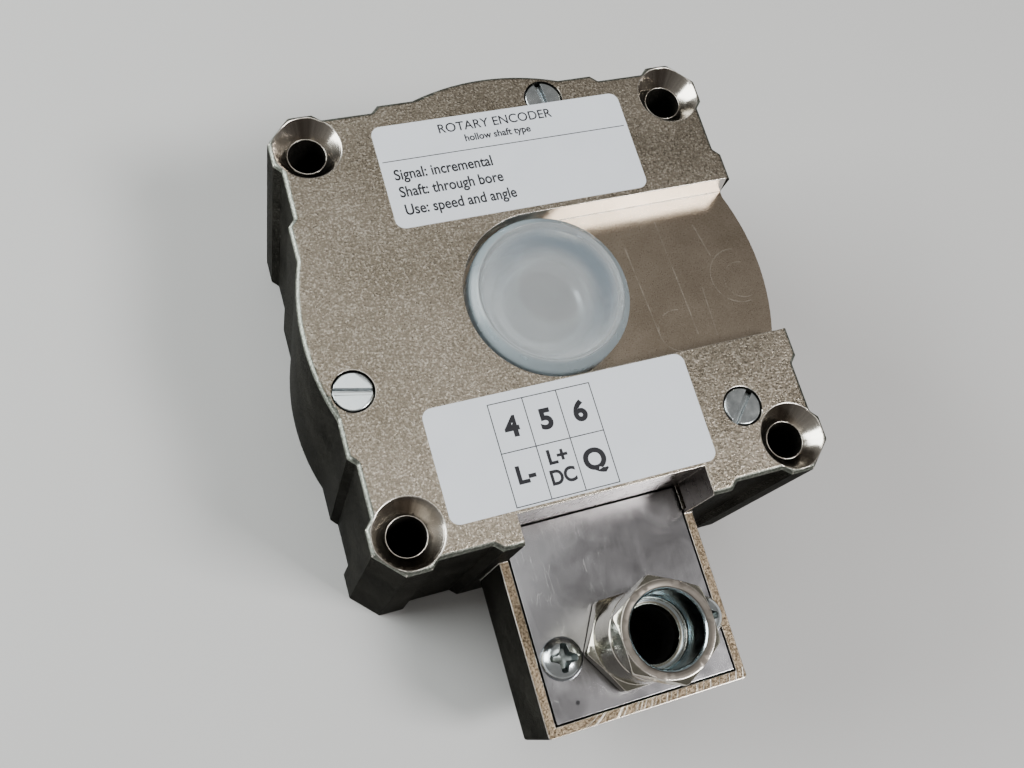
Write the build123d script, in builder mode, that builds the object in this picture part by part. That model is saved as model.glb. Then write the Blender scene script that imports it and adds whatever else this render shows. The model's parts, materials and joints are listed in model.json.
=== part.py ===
from build123d import *
from math import atan, cos, degrees, radians, sin
import os

# Hollow-shaft rotary encoder in a square cast housing with a terminal box.
# Millimetres. The origin is on the shaft axis at the mounting face, +Z goes up
# towards the face with the labels, and the terminal box points along -Y.

os.makedirs("parts", exist_ok=True)

# ---- driving dimensions -------------------------------------------------
# body
body_height = 51.0
body_half = 42.75
bulge_radius = 45.2
recess_half = 41.45
recess_near, recess_far = 23.1, 32.0
jog = 1.4
corner_edge = 38.4
draft_growth = 0.64
edge_round = 1.0
cavity_radius = 43.4
roof = 3.0

# mounting holes
bolt_pitch = 72.0
bolt_hole_radius = 3.5
countersink_radius = 6.15
countersink_depth = 3.3

# slot in the roof and the bore under the cap
slot_radius = 16.0
slot_depth = 5.7
slot_floor = body_height - slot_depth
tray = 2.3
roof_bore_radius = 14.0

# terminal box
box_half = 19.35
box_front = -74.4
box_bottom = 15.5
box_top = 35.5
box_wall = 1.75
box_floor = 18.0
box_seam = -46.0
lid_thickness = 3.0
gasket_thickness = 1.0
lid_gap = 0.3
notch_back = -37.4
box_inner_back = -39.2
cavity_front = -35.4
lid_screw_y = -61.9
lid_screw_spots = [(-13.2, lid_screw_y), (14.5, lid_screw_y)]
lid_screw_webs = [(-15.7, lid_screw_y), (17.0, lid_screw_y)]

# screws from the roof into the base flange
tie_circle = 40.4
tie_angles = (75.0, 195.0, 315.0)
tie_slot_turns = (-84.0, -12.0, 47.0)
tie_head_radius, tie_head_height = 3.5, 2.6
pillar_radius = 4.2

# base flange and bearings
flange_radius = 43.2
flange_bottom, flange_top = 0.5, 8.0
hub_radius = 21.0
hub_top = 31.0
bearing_bore, bearing_outer, bearing_width = 20.0, 32.0, 7.0
ball_radius, ball_count = 1.75, 12
pitch_radius = (bearing_bore + bearing_outer) / 4
lower_bearing, upper_bearing = 7.0, 20.0
slip = 0.01
running = 0.05

# shaft and code disc
shaft_radius = bearing_bore / 2 - slip
shaft_bore_radius = 7.0
shaft_bottom, shaft_top = 0.5, 44.3
keyway_width, keyway_depth = 5.0, 2.3
disc_radius, disc_thickness, disc_bottom = 29.0, 1.0, 36.0
spigot_radius = 12.5
hub_flange_radius = 17.0

# scanning board
board_outer, board_inner = 34.5, 22.5
board_bottom, board_thickness = 24.0, 1.6
board_top = board_bottom + board_thickness
board_front = -34.3
standoff_spots = [(x, y) for x in (-24.2, 24.2) for y in (-14.0, 14.0)]

# terminal block
block_half, block_back, block_front, block_top = 11.5, -44.5, -53.5, 27.0
cell_pitch = 5.5
lead_height = 21.5

# cable gland
gland_y = -62.2
gland_flats = 16.2
gland_corner = 9.2
gland_barrel_radius = 7.9
entry_thread_radius = 7.6
entry_bore_radius = 5.2
gland_gasket_top = box_top + 0.5
gland_hex_top = gland_gasket_top + 3.2
gland_barrel_top = 48.7
screw_thread_radius = 7.0
screw_head_low, screw_collar_top, gland_top = 49.1, 50.4, 56.0

# labels: low corner, high corner
label_thickness = 0.15
rating_label_box = ((-24.1, 17.1), (25.3, 37.9))
connection_label_box = ((-28.9, -36.8), (20.4, -16.3))


# ---- shared shapes ------------------------------------------------------
def body_outline(grow):
    """The body's closed outline less its round bulges: four equal sides, each with two shallow recesses."""
    half = body_half + grow
    recess = recess_half + grow
    right = [
        (corner_edge, half),
        (recess_far + jog, half),
        (recess_far, recess),
        (recess_near, recess),
        (recess_near - jog, half),
    ]
    side = right + [(-x, y) for x, y in reversed(right)]
    corners = [Vector(x, y).rotate(Axis.Z, 90 * quarter) for quarter in range(4) for x, y in side]
    Polyline(*corners, close=True)


def turned(points, centre=(0, 0), mode=Mode.ADD):
    """Revolve a half section of (radius, height) points about a vertical axis through centre."""
    section_plane = Plane(origin=(centre[0], centre[1], 0), x_dir=(1, 0, 0), z_dir=(0, -1, 0))
    with BuildSketch(section_plane) as section:
        with BuildLine():
            Polyline(*points, close=True)
        make_face()
    revolve(section.sketch, axis=Axis((centre[0], centre[1], 0), (0, 0, 1)), mode=mode)


def round_bar(centre, radius, low, high, mode=Mode.ADD):
    """A vertical round bar, or a hole when it is subtracted."""
    with BuildSketch(Plane.XY.offset(low)) as disc:
        with Locations(centre):
            Circle(radius)
    extrude(disc.sketch, amount=high - low, mode=mode)


def block(low, high, mode=Mode.ADD):
    """An upright box between its low and high corners."""
    with BuildSketch(Plane.XY.offset(low[2])) as base:
        with Locations(((low[0] + high[0]) / 2, (low[1] + high[1]) / 2)):
            Rectangle(high[0] - low[0], high[1] - low[1])
    extrude(base.sketch, amount=high[2] - low[2], mode=mode)


def slot_cut(centre, turn, length, width, low, high):
    """A straight driver slot across a screw head."""
    with BuildSketch(Plane.XY.offset(low)) as slot:
        with Locations(Location((centre[0], centre[1], 0), (0, 0, turn))):
            Rectangle(length, width)
    extrude(slot.sketch, amount=high - low, mode=Mode.SUBTRACT)


def polar(radius, angle):
    """The point at a radius and an angle about the shaft axis."""
    return (radius * cos(radians(angle)), radius * sin(radians(angle)))


def cavity_floor_plan(front_flat, with_pillars, with_tray):
    """The plan of the housing's round cavity, less what stays as metal at that level."""
    Circle(cavity_radius)
    if front_flat:
        with Locations((0, (cavity_front - cavity_radius - 5) / 2)):
            Rectangle(2 * cavity_radius, cavity_radius + 5 + cavity_front, mode=Mode.SUBTRACT)
    if with_pillars:
        with PolarLocations(tie_circle, 3, start_angle=tie_angles[0]):
            Circle(pillar_radius, mode=Mode.SUBTRACT)
    if with_tray:
        tray_half = slot_radius + 2
        Circle(tray_half, mode=Mode.SUBTRACT)
        with Locations((cavity_radius / 2 + 2, 0)):
            Rectangle(cavity_radius + 4, 2 * tray_half, mode=Mode.SUBTRACT)


# ---- housing ------------------------------------------------------------
draft_angle = degrees(atan(draft_growth / body_height))
countersink_angle = 2 * degrees(atan((countersink_radius - bolt_hole_radius) / countersink_depth))
lid_bottom = box_top - lid_thickness
gasket_bottom = lid_bottom - gasket_thickness
lid_seat_half = box_half - box_wall
box_inner_half = lid_seat_half - 1.4
box_inner_front = box_front + box_wall + 1.0
pillar_bottom = flange_top
flat_starts = 12.5
roof_underside = body_height - roof
tray_underside = slot_floor - tray
tie_seat = body_height - 0.1 - tie_head_height

with BuildPart() as casting:
    with BuildSketch():
        with BuildLine():
            body_outline(draft_growth)
        make_face()
    extrude(amount=body_height, taper=draft_angle)
    on_floor = (Align.CENTER, Align.CENTER, Align.MIN)
    Cone(bulge_radius + draft_growth, bulge_radius, body_height, align=on_floor)
    fillet(casting.faces().sort_by(Axis.Z)[-1].outer_wire().edges(), edge_round)

    # terminal box cast on to the front
    box_middle = (box_front + cavity_front) / 2
    with BuildSketch(Plane.XY.offset(box_bottom)):
        with Locations((0, box_middle)):
            Rectangle(2 * box_half, cavity_front - box_front)
    extrude(amount=box_top - box_bottom)
    upright_edges = casting.edges().filter_by(Axis.Z)
    front_edges = upright_edges.filter_by_position(Axis.Y, box_front - 0.1, box_front + 0.1)
    fillet(front_edges, 0.6)

    # round cavity for the works, with a flat front wall above the box's floor
    cavity_steps = [
        (-1, pillar_bottom, False, False, False),
        (pillar_bottom, flat_starts, False, True, False),
        (flat_starts, tray_underside, True, True, False),
        (tray_underside, roof_underside, True, True, True),
    ]
    for low, high, front_flat, with_pillars, with_tray in cavity_steps:
        with BuildSketch(Plane.XY.offset(low)):
            cavity_floor_plan(front_flat, with_pillars, with_tray)
        extrude(amount=high - low, mode=Mode.SUBTRACT)

    # slot in the roof, open to the right, and the bore below the cap
    with BuildSketch(Plane.XY.offset(slot_floor)):
        Circle(slot_radius)
        with Locations((bulge_radius / 2 + 2, 0)):
            Rectangle(bulge_radius + 4, 2 * slot_radius)
    extrude(amount=slot_depth + 1, mode=Mode.SUBTRACT)
    round_bar((0, 0), roof_bore_radius, tray_underside - 1, slot_floor + 1, Mode.SUBTRACT)

    # notch in front of the labels, its machined foot, and the seat of the lid
    notch_corner = (lid_seat_half, notch_back, body_height + 1)
    block((-lid_seat_half, box_front + 10, box_top), notch_corner, Mode.SUBTRACT)
    foot_half = lid_seat_half + 0.9
    block((-foot_half, -body_half + 0.6, box_top), (foot_half, notch_back, box_top + 1.9), Mode.SUBTRACT)
    seat_front = box_front + box_wall
    seat_corner = (lid_seat_half, notch_back, box_top + 0.1)
    block((-lid_seat_half, seat_front, gasket_bottom), seat_corner, Mode.SUBTRACT)

    # wiring space of the box, with a corner boss for each lid screw
    with BuildSketch(Plane.XY.offset(box_floor)):
        with Locations((0, (box_inner_front + box_inner_back) / 2)):
            Rectangle(2 * box_inner_half, box_inner_back - box_inner_front)
        with Locations(*lid_screw_spots):
            Circle(3.4, mode=Mode.SUBTRACT)
        with Locations(*lid_screw_webs):
            Rectangle(5, 6.8, mode=Mode.SUBTRACT)
    extrude(amount=gasket_bottom - box_floor, mode=Mode.SUBTRACT)
    foot_y = (block_back + block_front) / 2
    for spot in lid_screw_spots:
        round_bar(spot, 2.0, box_floor + 3, gasket_bottom, Mode.SUBTRACT)
    for side in (-1, 1):
        round_bar((side * 9.5, foot_y), 1.2, box_bottom + 0.7, box_floor, Mode.SUBTRACT)

    # window for the leads between the cavity and the box
    block((-7, box_inner_back - 1, box_floor + 0.8), (7, cavity_front + 1, box_floor + 6.8), Mode.SUBTRACT)

    # screw holes
    with Locations(Plane.XY.offset(body_height)):
        with GridLocations(bolt_pitch, bolt_pitch, 2, 2):
            CounterSinkHole(bolt_hole_radius, countersink_radius, counter_sink_angle=countersink_angle)
    for angle in tie_angles:
        spot = polar(tie_circle, angle)
        round_bar(spot, 2.25, pillar_bottom - 1, body_height, Mode.SUBTRACT)
        round_bar(spot, tie_head_radius + 0.25, tie_seat, body_height + 1, Mode.SUBTRACT)

# the front of the terminal box is a piece of its own, parted just clear of the round wall
box_corners = ((-box_half - 1, box_front - 1, box_bottom - 1), (box_half + 1, box_seam, box_top + 1))
with BuildPart() as housing:
    add(casting.part)
    block(*box_corners, Mode.SUBTRACT)
housing.part.label = "housing"
export_step(housing.part, "parts/housing.step")

with BuildPart() as terminal_box:
    add(casting.part)
    block(*box_corners, Mode.INTERSECT)
terminal_box.part.label = "terminal_box"
export_step(terminal_box.part, "parts/terminal_box.step")

# ---- base flange with the bearing hub -------------------------------------
bearing_radius = bearing_outer / 2
stack_top = upper_bearing + bearing_width
spring_top = stack_top + 1.4
clip_thickness = 1.2
groove_low, groove_high = 1.05, 2.35

with BuildPart() as base_flange:
    turned(
        [
            (bearing_radius + slip, flange_bottom),
            (flange_radius, flange_bottom),
            (flange_radius, groove_low),
            (flange_radius - 1.15, groove_low),
            (flange_radius - 1.15, groove_high),
            (flange_radius, groove_high),
            (flange_radius, flange_top),
            (hub_radius, flange_top),
            (hub_radius, hub_top),
            (bearing_radius + slip, hub_top),
            (bearing_radius + slip, spring_top + clip_thickness),
            (bearing_radius + 0.9, spring_top + clip_thickness),
            (bearing_radius + 0.9, spring_top),
            (bearing_radius + slip, spring_top),
            (bearing_radius + slip, lower_bearing),
            (14.6, lower_bearing),
            (14.6, lower_bearing - 1.2),
            (bearing_radius + slip, lower_bearing - 1.2),
        ]
    )
    for angle in tie_angles:
        round_bar(polar(tie_circle, angle), 2.0, 2.8, flange_top + 1, Mode.SUBTRACT)
    for spot in standoff_spots:
        round_bar(spot, 1.5, 3.5, flange_top + 1, Mode.SUBTRACT)
base_flange.part.label = "base_flange"
export_step(base_flange.part, "parts/base_flange.step")

with BuildPart() as flange_oring:
    with Locations((0, 0, (groove_low + groove_high) / 2)):
        Torus(flange_radius - 0.5, 0.62)
flange_oring.part.label = "flange_oring"
export_step(flange_oring.part, "parts/flange_oring.step")

with BuildPart() as tie_screws:
    for angle, slot_turn in zip(tie_angles, tie_slot_turns):
        spot = polar(tie_circle, angle)
        round_bar(spot, tie_head_radius, tie_seat, tie_seat + tie_head_height)
        round_bar(spot, 2.0 - slip, 3.3, tie_seat)
        slot_cut(spot, slot_turn, 8, 1.1, tie_seat + 1.3, body_height)
    top_rims = tie_screws.edges().group_by(Axis.Z)[-1].filter_by(GeomType.CIRCLE)
    chamfer(top_rims, 0.2)
tie_screws.part.label = "tie_screws"
export_step(tie_screws.part, "parts/tie_screws.step")

# ---- bearings -----------------------------------------------------------
raceway_radius = ball_radius + 0.03
inner_shoulder, outer_shoulder = pitch_radius - 1.1, pitch_radius + 1.1


def race(bore, outside, low):
    """A bearing ring with a round raceway for the balls."""
    middle = low + bearing_width / 2
    with BuildPart() as ring:
        turned([(bore, low), (outside, low), (outside, low + bearing_width), (bore, low + bearing_width)])
        chamfer(ring.edges().filter_by(GeomType.CIRCLE), 0.2)
        with Locations((0, 0, middle)):
            Torus(pitch_radius, raceway_radius, mode=Mode.SUBTRACT)
    return ring


def ball_set(low):
    """The balls of one bearing, evenly spaced."""
    with BuildPart() as balls:
        with Locations((0, 0, low + bearing_width / 2)):
            with PolarLocations(pitch_radius, ball_count):
                Sphere(ball_radius)
    return balls


def ball_cage(low):
    """The cage that spaces the balls, with a round pocket for each."""
    middle = low + bearing_width / 2
    with BuildPart() as cage:
        turned([(12.3, middle - 2.4), (13.7, middle - 2.4), (13.7, middle + 2.4), (12.3, middle + 2.4)])
        with Locations((0, 0, middle)):
            with PolarLocations(pitch_radius, ball_count):
                Cylinder(ball_radius + 0.1, 4, rotation=(0, 90, 0), mode=Mode.SUBTRACT)
    return cage


for place, low in (("lower", lower_bearing), ("upper", upper_bearing)):
    pieces = {
        "outer_race": race(outer_shoulder, bearing_radius, low),
        "inner_race": race(bearing_bore / 2, inner_shoulder, low),
        "balls": ball_set(low),
        "cage": ball_cage(low),
    }
    for kind, piece in pieces.items():
        piece.part.label = f"{place}_{kind}"
        export_step(piece.part, f"parts/{place}_{kind}.step")

with BuildPart() as bore_spacer:
    spacer_low, spacer_high = lower_bearing + bearing_width, upper_bearing
    spacer_inside = 14.3
    turned(
        [
            (spacer_inside, spacer_low),
            (bearing_radius, spacer_low),
            (bearing_radius, spacer_high),
            (spacer_inside, spacer_high),
        ]
    )
bore_spacer.part.label = "bore_spacer"
export_step(bore_spacer.part, "parts/bore_spacer.step")

with BuildPart() as shaft_spacer:
    turned([(10.0, spacer_low), (11.6, spacer_low), (11.6, spacer_high), (10.0, spacer_high)])
shaft_spacer.part.label = "shaft_spacer"
export_step(shaft_spacer.part, "parts/shaft_spacer.step")

with BuildPart() as preload_spring:
    turned(
        [
            (15.4, stack_top),
            (bearing_radius - 0.1, stack_top),
            (14.7, spring_top),
            (14.1, spring_top),
        ]
    )
preload_spring.part.label = "preload_spring"
export_step(preload_spring.part, "parts/preload_spring.step")


def circlip(outside, inside, low, gap_angle, ear_radius, ear_place):
    """An open retaining ring with two drilled ears beside its gap."""
    with BuildPart() as ring:
        with BuildSketch(Plane.XY.offset(low)):
            Circle(outside)
            Circle(inside, mode=Mode.SUBTRACT)
            ears = [polar(ear_place, 90 + side * (gap_angle / 2 + 4)) for side in (-1, 1)]
            with Locations(*ears):
                Circle(ear_radius)
            with BuildLine():
                near, far = 5.0, 20.0
                left, right = 90 + gap_angle / 2, 90 - gap_angle / 2
                corners = [(near, left), (far, left), (far, right), (near, right)]
                Polyline(*[polar(*corner) for corner in corners], close=True)
            make_face(mode=Mode.SUBTRACT)
            with Locations(*ears):
                Circle(0.45, mode=Mode.SUBTRACT)
        extrude(amount=clip_thickness)
    return ring


bore_circlip = circlip(bearing_radius + 0.85, 14.6, spring_top, 20, 1.3, 14.4)
bore_circlip.part.label = "bore_circlip"
export_step(bore_circlip.part, "parts/bore_circlip.step")

shaft_circlip = circlip(11.4, 9.45, stack_top, 30, 1.1, 11.0)
shaft_circlip.part.label = "shaft_circlip"
export_step(shaft_circlip.part, "parts/shaft_circlip.step")

# ---- shaft and seal -----------------------------------------------------
with BuildPart() as hollow_shaft:
    turned(
        [
            (shaft_bore_radius, shaft_bottom),
            (shaft_radius, shaft_bottom),
            (shaft_radius, lower_bearing - 1.6),
            (11.5, lower_bearing - 1.6),
            (11.5, lower_bearing),
            (shaft_radius, lower_bearing),
            (shaft_radius, stack_top),
            (9.4, stack_top),
            (9.4, stack_top + clip_thickness),
            (shaft_radius, stack_top + clip_thickness),
            (shaft_radius, shaft_top - 0.6),
            (shaft_radius - 0.6, shaft_top),
            (shaft_bore_radius + 0.6, shaft_top),
            (shaft_bore_radius, shaft_top - 0.6),
        ]
    )
    key_reach = shaft_bore_radius + keyway_depth
    block((0, -keyway_width / 2, -1), (key_reach, keyway_width / 2, 24), Mode.SUBTRACT)
hollow_shaft.part.label = "hollow_shaft"
export_step(hollow_shaft.part, "parts/hollow_shaft.step")

with BuildPart() as shaft_seal:
    lip = shaft_radius + 0.04
    turned(
        [
            (lip, 2.0),
            (10.6, 0.9),
            (bearing_radius, 0.9),
            (bearing_radius, 5.0),
            (14.2, 5.0),
            (14.2, 2.4),
            (11.6, 2.4),
            (11.2, 4.6),
            (10.5, 4.6),
            (lip, 3.4),
        ]
    )
shaft_seal.part.label = "shaft_seal"
export_step(shaft_seal.part, "parts/shaft_seal.step")

# ---- code disc ----------------------------------------------------------
disc_top = disc_bottom + disc_thickness
ring_top = disc_top + 1.2
disc_screw_spots = [polar(14.8, angle) for angle in (90, 210, 330)]
grub_height = 33.2
sleeve_bottom = 32.0

with BuildPart() as disc_hub:
    turned(
        [
            (10.0, sleeve_bottom),
            (14.0, sleeve_bottom),
            (14.0, disc_bottom - 1.6),
            (hub_flange_radius, disc_bottom - 1.6),
            (hub_flange_radius, disc_bottom),
            (spigot_radius - slip, disc_bottom),
            (spigot_radius - slip, ring_top),
            (10.0, ring_top),
        ]
    )
    for spot in disc_screw_spots:
        round_bar(spot, 1.0, disc_bottom - 2, disc_bottom + 0.1, Mode.SUBTRACT)
    for side in (-1, 1):
        with BuildSketch(Plane.YZ):
            with Locations((0, grub_height)):
                Circle(1.1)
        extrude(amount=side * 15, mode=Mode.SUBTRACT)
disc_hub.part.label = "disc_hub"
export_step(disc_hub.part, "parts/disc_hub.step")

with BuildPart() as hub_grub_screws:
    for side in (-1, 1):
        with BuildSketch(Plane.YZ.offset(side * 10.0)):
            with Locations((0, grub_height)):
                Circle(1.1 - slip)
        extrude(amount=side * 3.6)
        with BuildSketch(Plane.YZ.offset(side * 13.6)):
            with Locations((0, grub_height)):
                RegularPolygon(0.65, 6)
        extrude(amount=-side * 1.4, mode=Mode.SUBTRACT)
hub_grub_screws.part.label = "hub_grub_screws"
export_step(hub_grub_screws.part, "parts/hub_grub_screws.step")

with BuildPart() as code_disc:
    turned(
        [
            (spigot_radius, disc_bottom),
            (disc_radius, disc_bottom),
            (disc_radius, disc_top),
            (spigot_radius, disc_top),
        ]
    )
    for spot in disc_screw_spots:
        round_bar(spot, 1.15, disc_bottom - 1, disc_top + 1, Mode.SUBTRACT)
code_disc.part.label = "code_disc"
export_step(code_disc.part, "parts/code_disc.step")

with BuildPart() as disc_clamp_ring:
    turned(
        [
            (spigot_radius, disc_top),
            (hub_flange_radius, disc_top),
            (hub_flange_radius, ring_top),
            (spigot_radius, ring_top),
        ]
    )
    for spot in disc_screw_spots:
        round_bar(spot, 1.15, disc_top - 1, ring_top + 1, Mode.SUBTRACT)
disc_clamp_ring.part.label = "disc_clamp_ring"
export_step(disc_clamp_ring.part, "parts/disc_clamp_ring.step")

with BuildPart() as disc_screws:
    for spot in disc_screw_spots:
        round_bar(spot, 1.9, ring_top, ring_top + 1.2)
        round_bar(spot, 1.0 - slip, disc_bottom - 1.5, ring_top)
        slot_cut(spot, 25, 4.5, 0.5, ring_top + 0.6, ring_top + 2)
disc_screws.part.label = "disc_screws"
export_step(disc_screws.part, "parts/disc_screws.step")

# ---- scanning board -----------------------------------------------------
bracket_screw_spots = [(-3.8, -32.2), (3.8, -32.2)]
with BuildPart() as circuit_board:
    with BuildSketch(Plane.XY.offset(board_bottom)):
        Circle(board_outer)
        Circle(board_inner, mode=Mode.SUBTRACT)
        with Locations((0, board_front - 5)):
            Rectangle(2 * board_outer, 10, mode=Mode.SUBTRACT)
        with Locations(*standoff_spots):
            Circle(1.6, mode=Mode.SUBTRACT)
        with Locations(*bracket_screw_spots):
            Circle(1.1, mode=Mode.SUBTRACT)
    extrude(amount=board_thickness)
circuit_board.part.label = "circuit_board"
export_step(circuit_board.part, "parts/circuit_board.step")

with BuildPart() as board_standoffs:
    for spot in standoff_spots:
        with BuildSketch(Plane.XY.offset(flange_top)):
            with Locations(spot):
                RegularPolygon(2.75, 6, major_radius=False)
        extrude(amount=board_bottom - flange_top)
        round_bar(spot, 1.5 - slip, 4.0, flange_top)
        round_bar(spot, 1.5, board_bottom - 8, board_bottom, Mode.SUBTRACT)
board_standoffs.part.label = "board_standoffs"
export_step(board_standoffs.part, "parts/board_standoffs.step")

with BuildPart() as board_screws:
    for spot in standoff_spots:
        round_bar(spot, 2.75, board_top, board_top + 2.0)
        round_bar(spot, 1.5 - slip, board_bottom - 6, board_top)
        slot_cut(spot, 40, 6, 0.8, board_top + 1.0, board_top + 3)
board_screws.part.label = "board_screws"
export_step(board_screws.part, "parts/board_screws.step")

with BuildPart() as board_chips:
    for x, y in ((-20, -22), (14, 25), (-27, 4)):
        block((x - 2.5, y - 2.0, board_top), (x + 2.5, y + 2.0, board_top + 1.6))
board_chips.part.label = "board_chips"
export_step(board_chips.part, "parts/board_chips.step")

with BuildPart() as board_capacitors:
    for spot in ((-9, 27), (-1, 28), (21, -22)):
        round_bar(spot, 3.15, board_top, board_top + 6.5)
    chamfer(board_capacitors.edges().group_by(Axis.Z)[-1], 0.4)
board_capacitors.part.label = "board_capacitors"
export_step(board_capacitors.part, "parts/board_capacitors.step")

header_front = -29.6
lead_spread = 3.0
with BuildPart() as wire_header:
    block((-5.5, header_front, lead_height - 2.2), (5.5, header_front + 5, board_bottom))
    for x in (-lead_spread, 0, lead_spread):
        with BuildSketch(Plane.XZ.offset(-header_front)):
            with Locations((x, lead_height)):
                Circle(0.75)
        extrude(amount=-3, mode=Mode.SUBTRACT)
wire_header.part.label = "wire_header"
export_step(wire_header.part, "parts/wire_header.step")

with BuildPart() as sensor_block:
    block((-5, -29.5, board_top), (5, -23.2, 34.0))
    block((-3, -28.0, 33.2), (3, -24.4, 35.0), Mode.SUBTRACT)
sensor_block.part.label = "sensor_block"
export_step(sensor_block.part, "parts/sensor_block.step")

with BuildPart() as sensor_mask:
    block((-4.6, -29.2, 34.0), (4.6, -23.4, 34.8))
sensor_mask.part.label = "sensor_mask"
export_step(sensor_mask.part, "parts/sensor_mask.step")

arm_bottom, arm_top = 38.6, 42.0
lamp_spot = (0, -26.2)
with BuildPart() as lamp_bracket:
    block((-6, -34.2, board_top), (6, -30.2, arm_top))
    block((-6, -34.2, arm_bottom), (6, -22.6, arm_top))
    round_bar(lamp_spot, 2.5, arm_bottom - 1, arm_top + 1, Mode.SUBTRACT)
    for spot in bracket_screw_spots:
        round_bar(spot, 1.0, board_top - 1, board_top + 7, Mode.SUBTRACT)
lamp_bracket.part.label = "lamp_bracket"
export_step(lamp_bracket.part, "parts/lamp_bracket.step")

with BuildPart() as lamp:
    turned(
        [(0, 37.6), (1.2, 37.8), (2.0, 38.4), (2.4, 39.2), (2.4, 43.0), (0, 43.0)],
        centre=lamp_spot,
    )
lamp.part.label = "lamp"
export_step(lamp.part, "parts/lamp.step")

with BuildPart() as bracket_screws:
    for spot in bracket_screw_spots:
        round_bar(spot, 2.0, board_bottom - 1.4, board_bottom)
        round_bar(spot, 1.0 - slip, board_bottom, board_top + 6)
        slot_cut(spot, 0, 5, 0.5, board_bottom - 2, board_bottom - 0.8)
bracket_screws.part.label = "bracket_screws"
export_step(bracket_screws.part, "parts/bracket_screws.step")

# ---- terminal block and leads -------------------------------------------
cell_centres = (-cell_pitch, 0, cell_pitch)
block_middle = (block_back + block_front) / 2
block_screw_spots = [(-9.5, block_middle), (9.5, block_middle)]
clamp_low, clamp_high = lead_height - 1.9, lead_height + 2.1

with BuildPart() as terminal_block:
    block((-block_half, block_front, box_floor), (block_half, block_back, box_floor + 4.0))
    block((-8.2, block_front, box_floor), (8.2, block_back, block_top))
    for x in cell_centres:
        block((x - 2.0, block_front - 1, clamp_low), (x + 2.0, block_back + 1, clamp_high), Mode.SUBTRACT)
        round_bar((x, block_middle), 2.0, clamp_high, block_top + 1, Mode.SUBTRACT)
    for spot in block_screw_spots:
        round_bar(spot, 1.3, box_floor - 1, block_top, Mode.SUBTRACT)
terminal_block.part.label = "terminal_block"
export_step(terminal_block.part, "parts/terminal_block.step")

with BuildPart() as terminal_clamps:
    for x in cell_centres:
        block((x - 1.95, block_middle - 3.2, clamp_low), (x + 1.95, block_middle + 3.2, clamp_high))
        with BuildSketch(Plane.XZ.offset(-block_middle - 4)):
            with Locations((x, lead_height - 0.4)):
                Circle(0.95)
        extrude(amount=8, mode=Mode.SUBTRACT)
        round_bar((x, block_middle), 1.0, lead_height, clamp_high + 1, Mode.SUBTRACT)
terminal_clamps.part.label = "terminal_clamps"
export_step(terminal_clamps.part, "parts/terminal_clamps.step")

with BuildPart() as terminal_screws:
    for x in cell_centres:
        spot = (x, block_middle)
        round_bar(spot, 1.75, clamp_high, clamp_high + 1.4)
        round_bar(spot, 1.0 - slip, lead_height + 0.7, clamp_high)
        slot_cut(spot, 12 * x, 4, 0.5, clamp_high + 0.6, clamp_high + 2)
terminal_screws.part.label = "terminal_screws"
export_step(terminal_screws.part, "parts/terminal_screws.step")

with BuildPart() as block_screws:
    for spot in block_screw_spots:
        round_bar(spot, 1.25, box_floor + 4.0, box_floor + 5.4)
        round_bar(spot, 1.2 - slip, box_bottom + 0.9, box_floor + 4.0)
        slot_cut(spot, 70, 4, 0.4, box_floor + 4.8, box_floor + 6)
block_screws.part.label = "block_screws"
export_step(block_screws.part, "parts/block_screws.step")

with BuildPart() as lead_wires:
    for near, far in zip((-lead_spread, 0, lead_spread), cell_centres):
        start = Vector(near, header_front + 2.5, lead_height)
        finish = Vector(far, block_middle + 3.4, lead_height)
        with BuildLine() as route:
            if near == far:
                Line(start, finish)
            else:
                turn_out = Vector(near, cavity_front - 0.5, lead_height)
                turn_back = Vector(far, box_inner_back - 2.5, lead_height)
                FilletPolyline(start, turn_out, turn_back, finish, radius=4)
        with BuildSketch(Plane(origin=start, z_dir=(0, -1, 0))):
            Circle(0.7)
        sweep(path=route.wires()[0])
lead_wires.part.label = "lead_wires"
export_step(lead_wires.part, "parts/lead_wires.step")

# ---- terminal box lid ---------------------------------------------------
lid_half = lid_seat_half - lid_gap
lid_front, lid_back = seat_front + lid_gap, notch_back - lid_gap

with BuildPart() as terminal_lid:
    block((-lid_half, lid_front, lid_bottom), (lid_half, lid_back, box_top))
    round_bar((0, gland_y), entry_thread_radius + 0.1, lid_bottom - 1, box_top + 1, Mode.SUBTRACT)
    for spot in lid_screw_spots:
        round_bar(spot, 2.2, lid_bottom - 1, box_top + 1, Mode.SUBTRACT)
terminal_lid.part.label = "terminal_lid"
export_step(terminal_lid.part, "parts/terminal_lid.step")

with BuildPart() as lid_gasket:
    with BuildSketch(Plane.XY.offset(gasket_bottom)):
        with Locations((0, (lid_front + lid_back) / 2)):
            Rectangle(2 * lid_half, lid_back - lid_front)
        with Locations((0, (box_inner_front + box_inner_back) / 2)):
            Rectangle(2 * box_inner_half, box_inner_back - box_inner_front, mode=Mode.SUBTRACT)
        with Locations(*lid_screw_spots):
            Circle(3.4)
        with Locations(*lid_screw_webs):
            Rectangle(5, 6.8)
        with Locations((0, (lid_front + lid_back) / 2)):
            Rectangle(2 * lid_half, lid_back - lid_front, mode=Mode.INTERSECT)
        with Locations(*lid_screw_spots):
            Circle(2.2, mode=Mode.SUBTRACT)
    extrude(amount=gasket_thickness)
lid_gasket.part.label = "lid_gasket"
export_step(lid_gasket.part, "parts/lid_gasket.step")

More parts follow.
